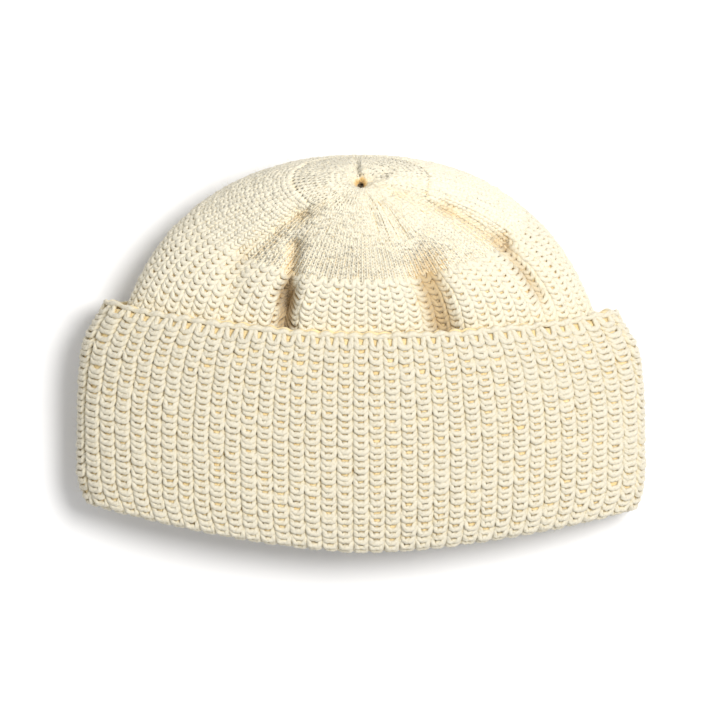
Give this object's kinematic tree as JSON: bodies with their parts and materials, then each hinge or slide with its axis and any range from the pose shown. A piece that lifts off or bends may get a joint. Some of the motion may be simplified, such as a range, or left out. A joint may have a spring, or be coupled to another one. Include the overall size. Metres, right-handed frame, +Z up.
{
  "type": "beanie",
  "caption": "Short ribbed wool watch cap with a deep turned-up cuff and a plain knit crown drawn to a gather, lying on its back.",
  "frame": {"origin": "on the table under the middle of the cap's outline as it lies on its back", "axes": "+Z up from the table, +Y from the folded rim towards the gathered crown, +X to the right seen from above with the crown away from the viewer"},
  "size_m": [0.2431, 0.1682, 0.0696],
  "materials": {
    "jersey_knit": "soft matt undyed wool in fine plain knit",
    "rib_knit": "soft matt undyed wool in open rib knit",
    "cuff_knit": "soft matt undyed wool in thick rib knit, slightly hairy"
  },
  "bodies": {
    "root": {"crown": "jersey_knit", "body": "rib_knit", "cuff": "cuff_knit"}
  },
  "joints": []
}
